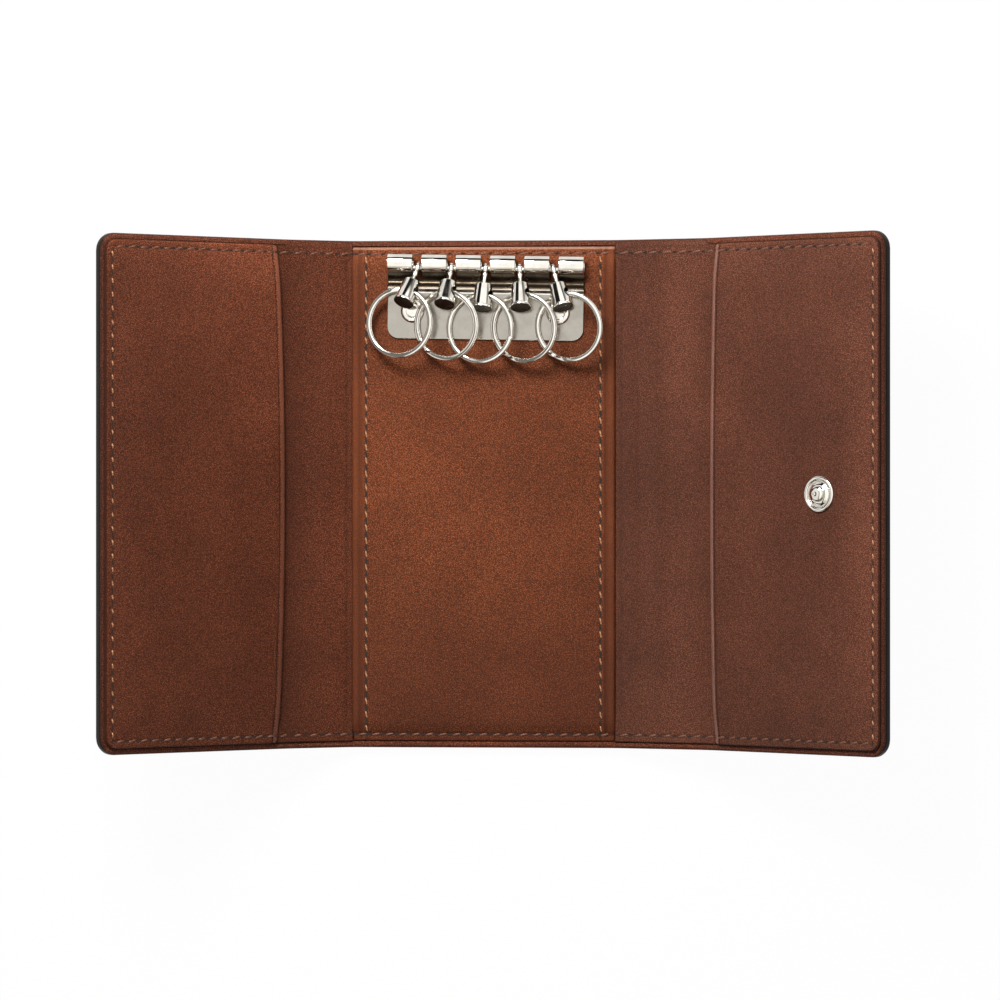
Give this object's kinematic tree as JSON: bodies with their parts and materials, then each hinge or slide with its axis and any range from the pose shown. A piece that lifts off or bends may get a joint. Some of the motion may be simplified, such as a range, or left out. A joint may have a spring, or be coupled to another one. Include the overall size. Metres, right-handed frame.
{
  "type": "key case",
  "caption": "Open three-fold leather key case with flap pockets, a snap, and a hinged rail of swivelling hooks that carry split key rings.",
  "frame": {"origin": "middle of the flat back of the centre section, on which the case lies", "axes": "+X to the right across the case, +Y up the case toward the hook rail, +Z away from the table"},
  "size_m": [0.1668, 0.11, 0.0406],
  "materials": {
    "cover_leather": "smooth, dark brown, with black painted edges",
    "centre_leather": "oiled, soft sheen, orange brown",
    "left_leather": "oiled, soft sheen, reddish brown",
    "right_leather": "oiled, soft sheen, reddish brown",
    "tan_thread": "waxed thread",
    "brown_thread": "waxed thread",
    "board": "plain stiffener board",
    "nickel": "bright nickel plate",
    "steel": "nickel-plated steel"
  },
  "bodies": {
    "centre": {"outer_cover_centre": "cover_leather", "stiffener_board": "board", "hook_panel": "centre_leather", "hook_panel_stitching": "tan_thread", "hook_rail": "nickel", "hinge_bar": "steel", "rail_rivets": "nickel", "rivet_washers": "steel"},
    "left_side": {"outer_cover_left_side": "cover_leather", "left_side_lining": "left_leather", "left_side_stitching": "brown_thread"},
    "left_flap": {"outer_cover_left_flap": "cover_leather", "left_flap_lining": "left_leather", "left_pocket": "left_leather", "left_flap_stitching": "brown_thread", "snap_socket": "steel", "snap_cap": "steel"},
    "right_side": {"outer_cover_right_side": "cover_leather", "right_side_lining": "right_leather", "right_side_stitching": "brown_thread"},
    "right_flap": {"outer_cover_right_flap": "cover_leather", "right_flap_lining": "right_leather", "right_pocket": "right_leather", "right_flap_stitching": "brown_thread", "snap_stud": "nickel", "snap_post": "steel"},
    "hook_1": {"hook_1": "nickel"},
    "barrel_1": {"barrel_1": "nickel"},
    "ring_1": {"key_ring_1": "nickel"},
    "hook_2": {"hook_2": "nickel"},
    "barrel_2": {"barrel_2": "nickel"},
    "ring_2": {"key_ring_2": "nickel"},
    "hook_3": {"hook_3": "nickel"},
    "barrel_3": {"barrel_3": "nickel"},
    "ring_3": {"key_ring_3": "nickel"},
    "hook_4": {"hook_4": "nickel"},
    "barrel_4": {"barrel_4": "nickel"},
    "ring_4": {"key_ring_4": "nickel"},
    "hook_5": {"hook_5": "nickel"},
    "barrel_5": {"barrel_5": "nickel"},
    "ring_5": {"key_ring_5": "nickel"}
  },
  "joints": [
    {"name": "left_side_fold", "type": "hinge", "parent": "centre", "child": "left_side", "pos_m": [-0.02865, 0, 0.0017], "axis": [0, 1, 0], "range_deg": [-29, 61]},
    {"name": "left_flap_fold", "type": "hinge", "parent": "left_side", "child": "left_flap", "pos_m": [-0.04177, 0, 0.00897], "axis": [0, 1, 0], "range_deg": [-11.5, 78.5]},
    {"name": "right_side_fold", "type": "hinge", "parent": "centre", "child": "right_side", "pos_m": [0.02865, 0, 0.0017], "axis": [0, -1, 0], "range_deg": [-18, 72]},
    {"name": "right_flap_fold", "type": "hinge", "parent": "right_side", "child": "right_flap", "pos_m": [0.04862, 0, 0.00819], "axis": [0, -1, 0], "range_deg": [-19, 71]},
    {"name": "hook_1_swing", "type": "hinge", "parent": "centre", "child": "hook_1", "pos_m": [-0.01406, 0.04896, 0.0055], "axis": [0.9998, -0.0175, 0], "range_deg": [-60, 0]},
    {"name": "barrel_1_swivel", "type": "hinge", "parent": "hook_1", "child": "barrel_1", "pos_m": [-0.01514, 0.0458, 0.00731], "axis": [-0.2861, -0.8309, 0.4772], "range_deg": [-20, 8]},
    {"name": "key_ring_1_spin", "type": "hinge", "parent": "barrel_1", "child": "ring_1", "pos_m": [-0.01775, 0.037, 0.00819], "axis": [-0.2981, 0.0395, 0.9537], "continuous": true},
    {"name": "hook_2_swing", "type": "hinge", "parent": "centre", "child": "hook_2", "pos_m": [-0.00674, 0.04883, 0.0055], "axis": [0.9998, -0.0175, 0], "range_deg": [-60, 0]},
    {"name": "barrel_2_swivel", "type": "hinge", "parent": "hook_2", "child": "barrel_2", "pos_m": [-0.0072, 0.04555, 0.00737], "axis": [-0.1211, -0.8619, 0.4924], "range_deg": [-1.5, 1]},
    {"name": "key_ring_2_spin", "type": "hinge", "parent": "barrel_2", "child": "ring_2", "pos_m": [-0.0076, 0.03642, 0.00824], "axis": [-0.3793, -0.042, 0.9243], "continuous": true},
    {"name": "hook_3_swing", "type": "hinge", "parent": "centre", "child": "hook_3", "pos_m": [0.00068, 0.0487, 0.0055], "axis": [0.9998, -0.0175, 0], "range_deg": [-60, 0]},
    {"name": "barrel_3_swivel", "type": "hinge", "parent": "hook_3", "child": "barrel_3", "pos_m": [0.00043, 0.04511, 0.00671], "axis": [-0.0662, -0.946, 0.3173], "range_deg": [-6, 2]},
    {"name": "key_ring_3_spin", "type": "hinge", "parent": "barrel_3", "child": "ring_3", "pos_m": [-0.00037, 0.03578, 0.0073], "axis": [-0.2773, -0.0025, 0.9608], "continuous": true},
    {"name": "hook_4_swing", "type": "hinge", "parent": "centre", "child": "hook_4", "pos_m": [0.0081, 0.04857, 0.0055], "axis": [0.9998, -0.0175, 0], "range_deg": [-60, 0]},
    {"name": "barrel_4_swivel", "type": "hinge", "parent": "hook_4", "child": "barrel_4", "pos_m": [0.00828, 0.0451, 0.00705], "axis": [0.0478, -0.9123, 0.4067], "range_deg": [-3, 2]},
    {"name": "key_ring_4_spin", "type": "hinge", "parent": "barrel_4", "child": "ring_4", "pos_m": [0.00912, 0.03588, 0.00773], "axis": [-0.333, -0.0791, 0.9396], "continuous": true},
    {"name": "hook_5_swing", "type": "hinge", "parent": "centre", "child": "hook_5", "pos_m": [0.01542, 0.04844, 0.0055], "axis": [0.9998, -0.0175, 0], "range_deg": [-60, 0]},
    {"name": "barrel_5_swivel", "type": "hinge", "parent": "hook_5", "child": "barrel_5", "pos_m": [0.01634, 0.04503, 0.00689], "axis": [0.2408, -0.8987, 0.3665], "range_deg": [-12, 2]},
    {"name": "key_ring_5_spin", "type": "hinge", "parent": "barrel_5", "child": "ring_5", "pos_m": [0.01882, 0.03605, 0.00751], "axis": [-0.2779, -0.1206, 0.953], "continuous": true}
  ],
  "couplings": [
    {"joint": "hook_2_swing", "follows": "hook_1_swing", "ratio": 1},
    {"joint": "hook_3_swing", "follows": "hook_1_swing", "ratio": 1},
    {"joint": "hook_4_swing", "follows": "hook_1_swing", "ratio": 1},
    {"joint": "hook_5_swing", "follows": "hook_1_swing", "ratio": 1}
  ]
}
